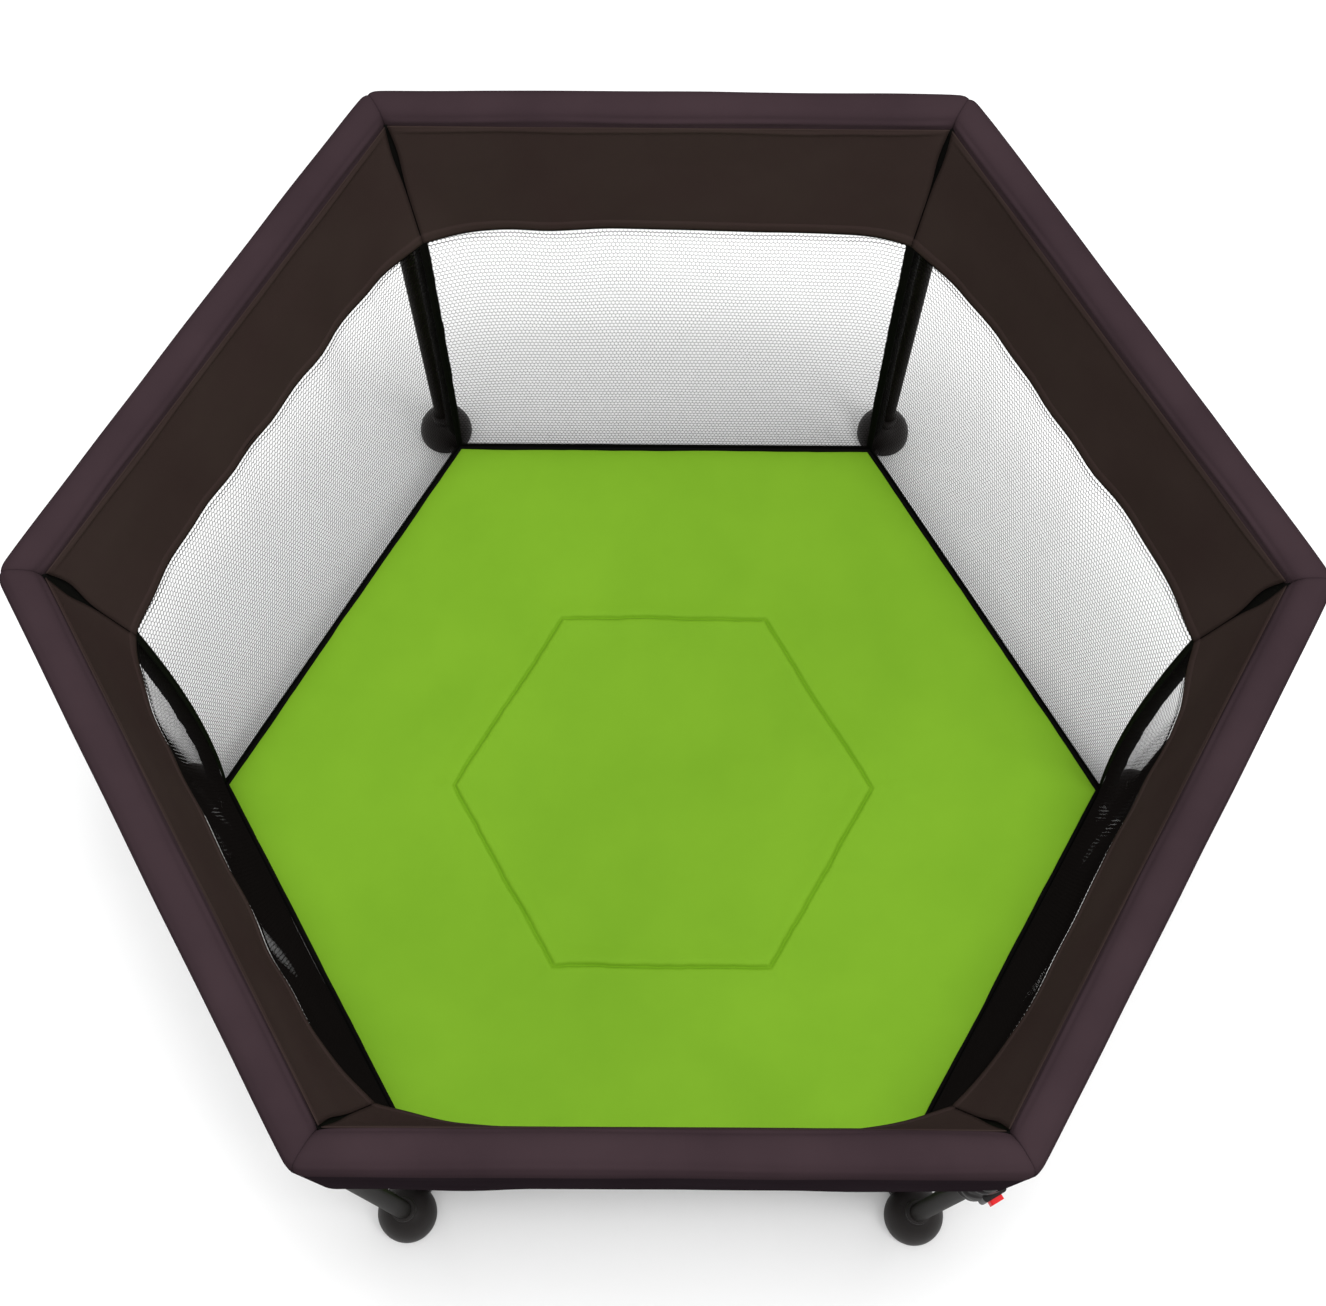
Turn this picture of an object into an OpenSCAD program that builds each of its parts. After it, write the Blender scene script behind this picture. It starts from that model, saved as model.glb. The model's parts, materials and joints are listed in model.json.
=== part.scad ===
// Hexagonal folding playpen: six legs on dome feet, hinged top rails, a pull-up floor hub with
// struts, fabric side walls, a padded floor mat and one sprung release button.
// The origin is on the floor at the centre. +X points at a corner, +Y at the back wall, +Z up.
// Corners are numbered 1 to 6 anticlockwise from +X, and side i runs from corner i to the next.

/* [Plan] */
// Centre to each foot's axis, at the floor
foot_r = 620; // [600:1:640]
// Centre to each top rail corner
rail_r = 633; // [620:1:650]
// Corner to the hinge of each half rail
arm_len = 60; // [50:1:70]

/* [Heights] */
// Height of the top of the padded rim
rim_top = 744; // [700:1:800]
// Height of the lower edge of the inner fabric band
band_low = 567; // [520:1:600]
// Height of the lower corners of the outer fabric skirt
skirt_low = 552; // [540:1:600]

/* [Frame] */
// Outer diameter of the legs and rails
tube_d = 22; // [19:1:22]
// Wall of the steel tubes
tube_wall = 1.2; // [1:0.1:1.6]
// Bare length of flat fork or tongue at each mid-rail hinge
mid_plate = 70; // [68:1:80]
// Width of the flat floor struts
strut_w = 20; // [18:1:20]
// Thickness of the flat floor struts
strut_t = 10; // [8:1:10]
// Hinge pin diameter at the rails
rail_pin_d = 6; // [5:0.5:7]
// Hinge pin diameter at the struts
strut_pin_d = 5; // [4:0.5:5]

/* [Hub] */
// Diameter of the floor hub
hub_d = 152; // [148:1:160]
// Centre to each strut's hinge in the hub
hub_pivot_r = 60; // [58:1:62]
// Height of the struts' hinges above the floor
strut_z = 9; // [8:0.5:9]

/* [Feet] */
// Diameter of a dome foot
foot_d = 72; // [66:1:72]
// Height of a dome foot
foot_h = 44; // [40:1:50]
// Height of the collar where the leg enters the foot
collar_h = 12; // [8:1:16]

/* [Fabric] */
// Width of the padded rim
rim_w = 42; // [40:1:44]
// Height of the padded rim
rim_h = 48; // [46:1:50]
// Thickness of the padded rim's wall
rim_wall = 4; // [3:0.5:4]
// Thickness of a fabric or net wall
cloth_t = 2; // [1.5:0.1:2.5]
// Centre to the lower corners of the inner band
band_r = 562; // [552:1:570]
// Lean of the outer skirt towards the centre over its height
skirt_lean = 5; // [3:1:6]
// Rise of the skirt's arched lower edge at mid side
skirt_arch = 22; // [10:1:40]

/* [Mat] */
// Centre to each corner of the floor mat
mat_r = 574; // [560:1:578]
// Thickness of the floor mat
mat_t = 15; // [13:1:20]
// Centre to each corner of the mat's middle panel
mat_mid_r = 274; // [240:1:300]
// Height of the mat's underside
mat_z = 19; // [19:1:22]

/* [Release button] */
// Height of the middle of the release button
latch_z = 508; // [480:1:510]
// Width of the button
button_w = 14; // [12:1:16]
// Height of the button
button_h = 17; // [14:1:18]
// How far the button is pressed in
button_travel = 4; // [3:0.5:4]

/* [Hidden] */
$fn = 64;
corners = 6;
step = 360 / corners;
gap = 0.3;            // clearance between pieces that slide or face each other
pin_slack = 0.05;     // radial clearance of a moving bore on its pin
seat_slack = 0.02;    // radial clearance of a pin in the piece that holds it
bite = 0.5;           // how far shapes of one solid run into each other

// Strut length equals the rail corner radius less both rail arms, so floor and rails fold alike.
strut_len = rail_r - 2 * arm_len;
lug_r = hub_pivot_r + strut_len;
half_rail = (rail_r - 2 * arm_len) / 2;
rail_z = rim_top - rim_h / 2;
tube_r = tube_d / 2;
leg_top = rail_z - 8;
lean = atan((rail_r - foot_r) / rail_z);
cos_half = cos(step / 2);
rail_flat = rail_r * cos_half;      // centre to the rail line, square to a side

fork_w = 22;          // width over both ears of a rail hinge
ear_t = 5;            // thickness of one ear
ear_r = 10;           // rounding of ears and tongues, seen from the side
tongue_t = fork_w - 2 * ear_t - 2 * gap;
tube_start = 18;      // hinge to the start of the rail tube
plug_len = 24;        // length of an end fitting inside its tube
mid_ear_t = 4.5;      // thickness of one ear at the mid-rail hinge
mid_tongue_t = 8;     // thickness of the tongue at the mid-rail hinge
mid_r = 9;            // rounding of the plates at the mid-rail hinge
pin_head_t = 1.2;     // thickness of a rivet head

bracket_r = 16;       // corner socket around the leg's top
bracket_low = rail_z - 30;
bracket_high = rail_z + 14;

strut_tongue_w = 12;  // width of a strut's outer tongue
strut_ear_t = 5;      // thickness of one ear on a foot's lug
strut_ear_r = 7;      // rounding of a foot lug's ears
strut_neck = 16;      // hinge to the full width of a strut
end_plug = 12;        // solid length at each end of a strut's hollow bar
hub_top = 14.4;       // underside of the hub's cap
cap_t = 1.2;          // thickness of the hub's cap
slot_w = strut_w + 1; // width of a strut's slot in the hub
slot_r = 48;          // centre to the inner end of a strut's slot
sheet_z = 17.4;       // underside of the floor sheet
sheet_t = 1.2;        // thickness of the floor sheet

board_t = 4;          // thickness of the boards inside the mat
board_edge = 16;      // margin of mat around each board

latch_leg = 6;
collar_r = 16;        // latch housing around the leg
nose_len = 22.3;      // leg axis to the housing's outer face
nose_w = 26;          // width of the housing's nose
nose_h = 30;          // height of the housing's nose
housing_h = 44;       // height of the latch housing
flange_edge = 2;      // rim that keeps the button in
flange_t = 2;         // thickness of that rim
button_back = 18;     // leg axis to the back of the button
button_face = 27.4;   // leg axis to the button's outer face
pocket_r = button_back - button_travel - 0.5;   // leg axis to the pocket's floor
spring_r = 2.6;       // outer radius of the button's spring
spring_wire = 0.4;    // radius of the spring's wire
spring_turns = 5;
spring_seat = 4;      // depth of the spring's seat in the button

// --- placing ---

// Corner i's frame: x outward from the centre, y along the circle.
module at_corner(i) {
    rotate([0, 0, step * (i - 1)]) children();
}

// The leg's own frame: z runs up the leaning leg from the floor.
module on_leg(i) {
    at_corner(i) translate([foot_r, 0, 0]) rotate([0, lean, 0]) children();
}

// Side i's frame: x runs from corner i to the next, y points inward, z is height.
module on_side(i) {
    at_corner(i) translate([rail_r, 0, 0]) rotate([0, 0, 90 + step / 2]) children();
}

// A bar along y, centred, for pins and bores.
module cross_pin(r, len) {
    rotate([90, 0, 0]) cylinder(r = r, h = len, center = true);
}

// Outline of a hexagon with a corner on x.
module hexagon(r) {
    polygon([for (k = [0:corners - 1]) [r * cos(step * k), r * sin(step * k)]]);
}

// --- floor hub ---

module hub_base() {
    color("#262626") difference() {
        cylinder(d = hub_d, h = hub_top);
        for (i = [1:corners]) at_corner(i) {
            translate([slot_r, -slot_w / 2, -1]) cube([hub_d, slot_w, hub_top + 2]);
            translate([hub_pivot_r, 0, strut_z])
                cross_pin(strut_pin_d / 2 + seat_slack, slot_w + 2 * strut_ear_t);
        }
        translate([0, 0, 3]) cylinder(r = slot_r - 8, h = hub_top);
    }
}

module hub_cap() {
    color("#1f1f1f") translate([0, 0, hub_top]) difference() {
        cylinder(d = hub_d, h = cap_t);
        translate([0, 0, -1]) cylinder(r = 14, h = cap_t + 2);
    }
}

module hub_pins() {
    color("silver") for (i = [1:corners]) at_corner(i)
        translate([hub_pivot_r, 0, strut_z])
            cross_pin(strut_pin_d / 2, slot_w + 2 * strut_ear_t - 2 * gap);
}

// A webbing loop lying flat on the hub's cap, under the floor sheet.
module pull_strap() {
    strap_w = 25;
    strap_l = 96;
    loop = 2;
    color("#171717") translate([0, 0, hub_top + cap_t + 0.1]) difference() {
        union() {
            translate([-strap_l / 2, -strap_w / 2, 0]) cube([strap_l, strap_w, 1.4]);
            for (s = [-1, 1]) translate([s * strap_l / 2, 0, 0]) cylinder(d = strap_w, h = 1.4);
        }
        for (s = [-1, 1]) translate([s * strap_l / 2, 0, -1]) cylinder(r = loop, h = 4);
    }
}

module strut(i) {
    bar_start = hub_pivot_r + strut_neck;
    bar_end = lug_r - strut_neck;
    end_r = strut_t / 2;
    color("#2b2b2b") at_corner(i) translate([0, 0, strut_z]) difference() {
        union() {
            translate([bar_start, -strut_w / 2, -strut_t / 2])
                cube([bar_end - bar_start, strut_w, strut_t]);
            translate([hub_pivot_r, -strut_w / 2, -strut_t / 2])
                cube([strut_neck + bite, strut_w, strut_t]);
            translate([hub_pivot_r, 0, 0]) cross_pin(end_r, strut_w);
            translate([bar_end - bite, -strut_tongue_w / 2, -strut_t / 2])
                cube([strut_neck + bite, strut_tongue_w, strut_t]);
            translate([lug_r, 0, 0]) cross_pin(end_r, strut_tongue_w);
        }
        for (x = [hub_pivot_r, lug_r]) translate([x, 0, 0])
            cross_pin(strut_pin_d / 2 + pin_slack, strut_w + 2);
        translate([bar_start + end_plug, -strut_w / 2 + tube_wall, -strut_t / 2 + tube_wall])
            cube([bar_end - bar_start - 2 * end_plug, strut_w - 2 * tube_wall,
                strut_t - 2 * tube_wall]);
    }
}

// --- legs ---

module leg_tube(i) {
    start = 14;
    color("#141210") on_leg(i) translate([0, 0, start]) difference() {
        cylinder(r = tube_r, h = leg_top / cos(lean) - start);
        translate([0, 0, -1]) cylinder(r = tube_r - tube_wall, h = leg_top * 2);
    }
}

// Dome foot with a socket for the leg, and a forked lug with the strut's hinge pin.
module foot(i) {
    dome_r = foot_d / 2;
    color("#302b2b") difference() {
        union() {
            at_corner(i) translate([foot_r, 0, 0]) rotate_extrude($fn = 96)
                foot_outline(dome_r);
            at_corner(i) for (s = [-1, 1])
                translate([lug_r, s * (strut_tongue_w / 2 + gap + strut_ear_t / 2), strut_z]) {
                    cross_pin(strut_ear_r, strut_ear_t);
                    translate([0, -strut_ear_t / 2, -strut_ear_r])
                        cube([foot_r - lug_r - tube_r, strut_ear_t, 2 * strut_ear_r]);
                }
        }
        on_leg(i) translate([0, 0, 13]) cylinder(r = tube_r + seat_slack, h = foot_h * 2);
        at_corner(i) translate([lug_r, 0, strut_z])
            cross_pin(strut_pin_d / 2 + seat_slack, strut_tongue_w + 4 * strut_ear_t);
    }
    color("silver") at_corner(i) translate([lug_r, 0, strut_z])
        cross_pin(strut_pin_d / 2, strut_tongue_w + 2 * gap + 2 * strut_ear_t);
}

// Half outline of the dome: a flat sole, a round side and a short collar on top.
module foot_outline(dome_r) {
    neck_r = tube_r + 4;
    steps = 12;
    sole = 5;
    bevel = 2;
    rise = foot_h - sole;
    polygon(concat(
        [[0, 0], [dome_r - bevel, 0], [dome_r, bevel]],
        [for (k = [0:steps]) let (a = 66 * k / steps)
            [dome_r * cos(a), sole + rise * sin(a)]],
        [[neck_r, foot_h - 1], [neck_r, foot_h + collar_h - bevel],
         [neck_r - bevel, foot_h + collar_h], [0, foot_h + collar_h]]));
}

// Moulded corner: a socket on the leg's top with two forked arms and their rivets.
module corner_bracket(i) {
    color("#1b1a1a") difference() {
        union() {
            at_corner(i) translate([rail_r, 0, bracket_low])
                cylinder(r = bracket_r, h = bracket_high - bracket_low);
            bracket_arms(i) {
                translate([0, -fork_w / 2, -ear_r]) cube([arm_len - 16, fork_w, 2 * ear_r]);
                for (s = [-1, 1]) translate([arm_len, s * (fork_w - ear_t) / 2, 0]) {
                    cross_pin(ear_r, ear_t);
                    translate([-17, -ear_t / 2, -ear_r]) cube([17, ear_t, 2 * ear_r]);
                }
            }
        }
        on_leg(i) cylinder(r = tube_r + seat_slack, h = leg_top / cos(lean) + seat_slack);
        bracket_arms(i) translate([arm_len, 0, 0])
            cross_pin(rail_pin_d / 2 + seat_slack, fork_w + 2);
    }
    color("silver") bracket_arms(i) translate([arm_len, 0, 0]) rivet(fork_w);
}

// Both arm directions at corner i, each with x pointing away from the leg.
module bracket_arms(i) {
    on_side(i) translate([0, 0, rail_z]) children();
    on_side((i + corners - 2) % corners + 1)
        translate([rail_r, 0, rail_z]) rotate([0, 0, 180]) children();
}

// Headed pin along y for a fork of width w.
module rivet(w) {
    cross_pin(rail_pin_d / 2, w + 2 * pin_head_t);
    for (s = [-1, 1]) translate([0, s * (w + pin_head_t + 2 * seat_slack) / 2, 0])
        cross_pin(rail_pin_d / 2 + 2, pin_head_t);
}

// --- top rails ---

// Half rail from its hinge at x = 0 to the mid-side hinge: end tongue, tube and the mid fitting.
module half_rail_bar() {
    tube_end = half_rail - mid_plate;
    difference() {
        union() {
            cross_pin(ear_r, tongue_t);
            translate([0, -tongue_t / 2, -ear_r]) cube([tube_start + bite, tongue_t, 2 * ear_r]);
            translate([tube_start, 0, 0]) rotate([0, 90, 0])
                cylinder(r = tube_r, h = tube_end - tube_start);
            translate([half_rail, 0, 0]) children();
        }
        cross_pin(rail_pin_d / 2 + pin_slack, fork_w);
        translate([tube_start + plug_len, 0, 0]) rotate([0, 90, 0])
            cylinder(r = tube_r - tube_wall, h = tube_end - tube_start - 2 * plug_len);
    }
}

// The half with the fork and the mid-side pin, hinged at corner i.
module rail_left(i) {
    mid_w = mid_tongue_t + 2 * gap + 2 * mid_ear_t;
    color("#181614") on_side(i) translate([arm_len, 0, rail_z]) {
        half_rail_bar() for (s = [-1, 1])
            translate([0, s * (mid_w - mid_ear_t) / 2, 0]) difference() {
                union() {
                    cross_pin(mid_r, mid_ear_t);
                    translate([-mid_plate - bite, -mid_ear_t / 2, -mid_r])
                        cube([mid_plate + bite, mid_ear_t, 2 * mid_r]);
                }
                cross_pin(rail_pin_d / 2 + seat_slack, mid_ear_t + 1);
            }
    }
    color("silver") on_side(i) translate([arm_len + half_rail, 0, rail_z]) rivet(mid_w);
}

// The half with the tongue, hinged at the next corner.
module rail_right(i) {
    color("#1c1917") on_side(i) translate([rail_r - arm_len, 0, rail_z]) rotate([0, 0, 180])
        half_rail_bar() difference() {
            union() {
                cross_pin(mid_r, mid_tongue_t);
                translate([-mid_plate - bite, -mid_tongue_t / 2, -mid_r])
                    cube([mid_plate + bite, mid_tongue_t, 2 * mid_r]);
            }
            cross_pin(rail_pin_d / 2 + pin_slack, mid_tongue_t + 1);
        }
}

// --- fabric walls ---

// Keeps what lies in side i's sector, cut to a mitre with a small gap at both corners.
module mitred(i) {
    reach = rail_r * 2;
    inset = gap / sin(step / 2);
    intersection() {
        children();
        at_corner(i) rotate([0, 0, step / 2]) translate([inset, 0, -1])
            linear_extrude(rim_top * 2)
                polygon([[0, 0], [reach, -reach * tan(step / 2)], [reach, reach * tan(step / 2)]]);
    }
}

// Sweeps an outline of [distance square to the side, height] along side i.
module swept(i) {
    at_corner(i) rotate([0, 0, step / 2]) translate([0, rail_r, 0]) rotate([90, 0, 0])
        linear_extrude(2 * rail_r) children();
}

module rim_outline(w, h, r) {
    square([w, h - 2 * r], center = true);
    square([w - 2 * r, h], center = true);
    for (x = [-1, 1], y = [-1, 1]) translate([x * (w / 2 - r), y * (h / 2 - r)]) circle(r = r);
}

// Padded sleeve around the rail, with the outer skirt hanging from it.
module rim_cover(i) {
    outer = rail_flat + rim_w / 2;
    skirt_top = rail_z - rim_h / 2 + 12;
    skirt_drop = skirt_top - skirt_low;
    arch_r = (rail_r * rail_r / 4 + skirt_arch * skirt_arch) / (2 * skirt_arch);
    color("#3b2e35") difference() {
        mitred(i) {
            swept(i) translate([rail_flat, rail_z]) difference() {
                rim_outline(rim_w, rim_h, 13);
                rim_outline(rim_w - 2 * rim_wall, rim_h - 2 * rim_wall, 9);
            }
            swept(i) polygon([
                [outer - cloth_t, skirt_top], [outer, skirt_top],
                [outer - skirt_lean, skirt_low], [outer - skirt_lean - cloth_t, skirt_low]]);
        }
        at_corner(i) rotate([0, 0, step / 2])
            translate([outer - 30, 0, skirt_low + skirt_arch - arch_r])
                rotate([0, 90, 0]) cylinder(r = arch_r, h = 60, $fn = 256);
        for (k = [i, i + 1]) at_corner(k) translate([rail_r, 0, skirt_low])
            cylinder(r = bracket_r + 1, h = bracket_high - skirt_low + 1);
    }
}

// Inner fabric band sloping in from the rim, and the net that runs from it down to the floor.
module side_panel(i) {
    top_a = rail_flat - rim_w / 2 - gap;
    low_a = band_r * cos_half;
    foot_a = mat_r * cos_half;
    foot_z = sheet_z + sheet_t + gap;
    color("#352a2a") mitred(i) swept(i) polygon([
        [top_a, rail_z - 4], [top_a - cloth_t, rail_z - 4],
        [low_a - cloth_t, band_low], [foot_a - cloth_t, mat_z + mat_t + 1],
        [foot_a + gap, mat_z + mat_t + 1], [foot_a + gap, foot_z], [foot_a + gap + cloth_t, foot_z],
        [foot_a + gap + cloth_t, mat_z + mat_t + 2], [low_a, band_low], [top_a, rail_z - 20]]);
}

module floor_sheet() {
    color("#202020") translate([0, 0, sheet_z]) linear_extrude(sheet_t) hexagon(mat_r);
}

// --- floor mat ---

// Seven sewn pockets: the middle hexagon and six panels around it.
module mat_panels(edge) {
    hexagon(mat_mid_r - edge);
    slip = edge / 2 / sin(step / 2);
    for (i = [1:corners]) rotate([0, 0, step * (i - 0.5)]) {
        inner = mat_mid_r * cos_half + edge / 2;
        outer = mat_r * cos_half - edge;
        half_in = (inner - slip) * tan(step / 2);
        half_out = (outer - slip) * tan(step / 2);
        polygon([[inner, -half_in], [outer, -half_out], [outer, half_out], [inner, half_in]]);
    }
}

module mat_cover() {
    pocket_z = (mat_t - board_t) / 2 - gap;
    color("#7fb32d") translate([0, 0, mat_z]) difference() {
        linear_extrude(mat_t) hexagon(mat_r);
        translate([0, 0, pocket_z]) linear_extrude(board_t + 2 * gap) mat_panels(board_edge - 1);
    }
}

module mat_boards() {
    color("#b98d5a") translate([0, 0, mat_z + (mat_t - board_t) / 2])
        linear_extrude(board_t) mat_panels(board_edge);
}

// --- release button ---

// The button's frame: x outward from the leg's axis at the button's height.
module at_latch() {
    leg_r = foot_r + (rail_r - foot_r) * latch_z / rail_z;
    at_corner(latch_leg) translate([leg_r, 0, latch_z]) children();
}

module latch_housing() {
    side = button_w + 2 * flange_edge + 2 * gap;
    tall = button_h + 2 * flange_edge + 2 * gap;
    lip = nose_len - button_back - flange_t - gap;
    edge_r = 4;
    color("#151515") difference() {
        at_latch() {
            translate([0, 0, -housing_h / 2]) cylinder(r = collar_r, h = housing_h);
            translate([0, -nose_w / 2, -nose_h / 2]) cube([nose_len - edge_r, nose_w, nose_h]);
            translate([0, -nose_w / 2 + edge_r, -nose_h / 2])
                cube([nose_len, nose_w - 2 * edge_r, nose_h]);
            for (s = [-1, 1])
                translate([nose_len - edge_r, s * (nose_w / 2 - edge_r), -nose_h / 2])
                    cylinder(r = edge_r, h = nose_h);
        }
        at_latch() {
            translate([pocket_r, -side / 2, -tall / 2])
                cube([nose_len - lip - pocket_r, side, tall]);
            translate([pocket_r, -button_w / 2 - gap, -button_h / 2 - gap])
                cube([nose_len, button_w + 2 * gap, button_h + 2 * gap]);
        }
        on_leg(latch_leg) cylinder(r = tube_r + seat_slack, h = leg_top);
    }
}

module release_button() {
    round_r = 3;
    side = button_w + 2 * flange_edge;
    tall = button_h + 2 * flange_edge;
    color("#eb373a") at_latch() difference() {
        union() {
            translate([button_back, -side / 2, -tall / 2]) cube([flange_t, side, tall]);
            translate([button_back, 0, 0]) rotate([0, 90, 0])
                linear_extrude(button_face - button_back)
                    rim_outline(button_h, button_w, round_r);
        }
        translate([button_back - 1, 0, 0]) rotate([0, 90, 0])
            cylinder(r = spring_r + gap, h = spring_seat + 1);
    }
}

module button_spring() {
    length = button_back + spring_seat - pocket_r - 2 * gap;
    color("silver") at_latch() translate([pocket_r + gap, 0, 0]) rotate([0, 90, 0])
        linear_extrude(length, twist = -360 * spring_turns, slices = 12 * spring_turns, $fn = 0)
            translate([spring_r - spring_wire, 0]) square(spring_wire * 2, center = true);
}

// --- assembly ---

hub_base();
hub_cap();
hub_pins();
pull_strap();
floor_sheet();
mat_cover();
mat_boards();
for (i = [1:corners]) {
    strut(i);
    leg_tube(i);
    foot(i);
    corner_bracket(i);
    rail_left(i);
    rail_right(i);
    rim_cover(i);
    side_panel(i);
}
latch_housing();
release_button();
button_spring();
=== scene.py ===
"""Looks for the folding playpen: padded rim, fabric bands, nets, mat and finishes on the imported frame.

Metres throughout. Corner i stands at 60 degrees times i - 1 from +X, and side i runs from corner i
to the next. On a side, `a` is the distance square out from the centre, `t` runs along the side
from its middle towards the next corner, and `z` is height.
"""
import json
import math
import bpy
from mathutils import Matrix, Vector, noise


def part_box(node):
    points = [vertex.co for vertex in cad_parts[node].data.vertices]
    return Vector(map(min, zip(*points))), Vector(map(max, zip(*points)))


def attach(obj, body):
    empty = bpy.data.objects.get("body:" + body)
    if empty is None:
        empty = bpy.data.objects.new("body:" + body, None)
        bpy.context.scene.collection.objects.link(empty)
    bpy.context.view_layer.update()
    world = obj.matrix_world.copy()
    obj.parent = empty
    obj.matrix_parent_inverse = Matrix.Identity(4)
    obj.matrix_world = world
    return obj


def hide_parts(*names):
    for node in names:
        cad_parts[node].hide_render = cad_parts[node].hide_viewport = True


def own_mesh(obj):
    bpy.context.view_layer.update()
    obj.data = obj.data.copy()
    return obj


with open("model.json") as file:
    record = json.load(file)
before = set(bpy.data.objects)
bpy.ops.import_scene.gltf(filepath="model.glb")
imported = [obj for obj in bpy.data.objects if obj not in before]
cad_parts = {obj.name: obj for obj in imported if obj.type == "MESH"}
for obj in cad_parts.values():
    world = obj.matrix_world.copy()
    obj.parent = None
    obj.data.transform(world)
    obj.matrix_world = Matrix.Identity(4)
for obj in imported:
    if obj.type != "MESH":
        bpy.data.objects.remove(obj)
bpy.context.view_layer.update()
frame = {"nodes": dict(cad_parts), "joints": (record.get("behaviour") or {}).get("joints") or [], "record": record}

# --- sizes from the frame ---

CORNERS = 6
SIDES = range(1, CORNERS + 1)
HALF = math.pi / CORNERS
TAN, COS = math.tan(HALF), math.cos(HALF)
MM = 0.001

joints = {joint["name"]: joint for joint in frame["joints"]}
cover_low, cover_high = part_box("rim_cover_2")      # the back wall, square to +Y
panel_low, panel_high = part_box("side_panel_2")
mat_low, mat_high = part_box("mat_cover")
sheet_low, sheet_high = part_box("floor_sheet")
latch_low, latch_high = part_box("latch_housing")

RIM_OUT, RIM_TOP = cover_high.y, cover_high.z
RIM_IN, SKIRT_LOW = cover_low.y, cover_low.z
RIM_MID = (RIM_OUT + RIM_IN) / 2
RIM_W = RIM_OUT - RIM_IN
RAIL_Z = joints["rail_left_fold_1"]["pos_m"][2]
RIM_H = 2 * (RIM_TOP - RAIL_Z)
RAIL_R = RIM_MID / COS
BAND_IN = panel_low.y              # the inner band's lower edge, square out from the centre
NET_LOW = panel_low.z
MAT_R, MAT_TOP, MAT_BASE = mat_high.x, mat_high.z, mat_low.z
MAT_OUT = MAT_R * COS
FOOT_R = frame["record"]["mounts"][0]["pos_m"][0]

# --- sizes of the soft parts ---

BAND_Z = RIM_TOP - 177 * MM        # corner height of the inner band's lower edge
BAND_TOP = RAIL_Z + 7 * MM         # where the band's cloth leaves the rim's inner side
ARCH_RISE = 6 * MM                 # how much higher the band's lower edge is away from the corners
ARCH_OUT = 17 * MM                 # how much further out it is there, where no corner pulls it in
ARCH_RUN = 130 * MM                # how far from a corner the edge keeps rising
RIM_ROUNDNESS = 2.6                # exponent of the rim's section, 2 for an ellipse
RIM_BOW = 2 * MM                   # how much higher the rim stands away from the corners
RIM_WRAP = 70 * MM                 # the cloth's own coordinate once round the rim's section
CORNER_PULL = 3 * MM               # how far a corner's outer edge is rounded in
CORNER_RUN = 13 * MM               # how far from the corner that rounding starts
MIDDLE_R = 274 * MM                # centre to a corner of the mat's middle panel
WALL_BOW = 13 * MM                 # how far the side corners bow inward at mid height
BINDING_W = 10 * MM                # tape over the corner seams below the bands
BINDING_WIDE = 24 * MM             # and behind them
SLEEVE_R = 9 * MM                  # half the width of the sleeves down the corners of the net
SLEEVE_LOW = 66 * MM               # their lower end, above the feet
HEM_H = 20 * MM                    # height of the tape along the bottom of the net
NET_PITCH = 4.8 * MM               # between the net's holes along a row
NET_STRETCH = 1.8                  # how much longer a hole is than a regular hexagon
NET_DEPTH = 0.68 * MM              # how thick the net is, square to the wall
NET_TUCK = 6 * MM                  # how far the net runs up behind the band
SELVEDGE = 3 * MM                  # the net's closed edge, showing under the band
EDGE_RUN = 16 * MM                 # how far below the band the net's threads are thicker
EDGE_DEPTH = 1.7                   # and by how much
SEWN_RUN = 220 * MM                # how far down the net follows the band's own folds
WEAVE_DEPTH = 0.06 * MM


# --- mesh helpers ---

def ripple(size, amount, *where):
    """A smooth random height of about `amount`, with features about `size` across."""
    return amount * noise.noise(Vector((*where, 0, 0)[:3]) / size)


def bell(x, width):
    """1 at x = 0, falling off over about `width`."""
    return math.exp(-(x / width) ** 2)


def fade(x, length):
    """1 at x = 0, falling off smoothly with distance."""
    return math.exp(-abs(x) / length)


def mix(a, b, share):
    return a + (b - a) * share


def linspace(a, b, count):
    return [mix(a, b, k / (count - 1)) for k in range(count)]


def make_piece(name, points, faces, material, uvs=None, marks=None):
    """A smooth mesh object. uvs holds one pair per point, in metres of cloth; marks a material per face."""
    mesh = bpy.data.meshes.new(name)
    mesh.from_pydata([tuple(p) for p in points], [], faces)
    materials = material if isinstance(material, list) else [material]
    for m in materials:
        mesh.materials.append(m)
    if marks:
        mesh.polygons.foreach_set("material_index", marks)
    if uvs:
        layer = mesh.uv_layers.new(name="cloth")
        layer.data.foreach_set("uv", [c for loop in mesh.loops for c in uvs[loop.vertex_index]])
    mesh.polygons.foreach_set("use_smooth", [True] * len(mesh.polygons))
    mesh.update()
    piece = bpy.data.objects.new(name, mesh)
    bpy.context.scene.collection.objects.link(piece)
    return piece


def grid_faces(rows, columns, wrap=False, start=0):
    """Quads over a grid of points stored row by row. wrap joins each row's end to its start."""
    faces = []
    for r in range(rows - 1):
        for c in range(columns if wrap else columns - 1):
            d = (c + 1) % columns
            faces.append((start + r * columns + c, start + r * columns + d,
                          start + (r + 1) * columns + d, start + (r + 1) * columns + c))
    return faces


def tube_faces(rings, around):
    """Quads round a tube of rings, and one face over each end."""
    last = (rings - 1) * around
    return grid_faces(rings, around, wrap=True) + [tuple(range(around - 1, -1, -1)),
                                                   tuple(range(last, last + around))]


def thicken(piece, thickness):
    solid = piece.modifiers.new("thickness", "SOLIDIFY")
    solid.thickness = thickness
    solid.offset = 0


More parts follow.
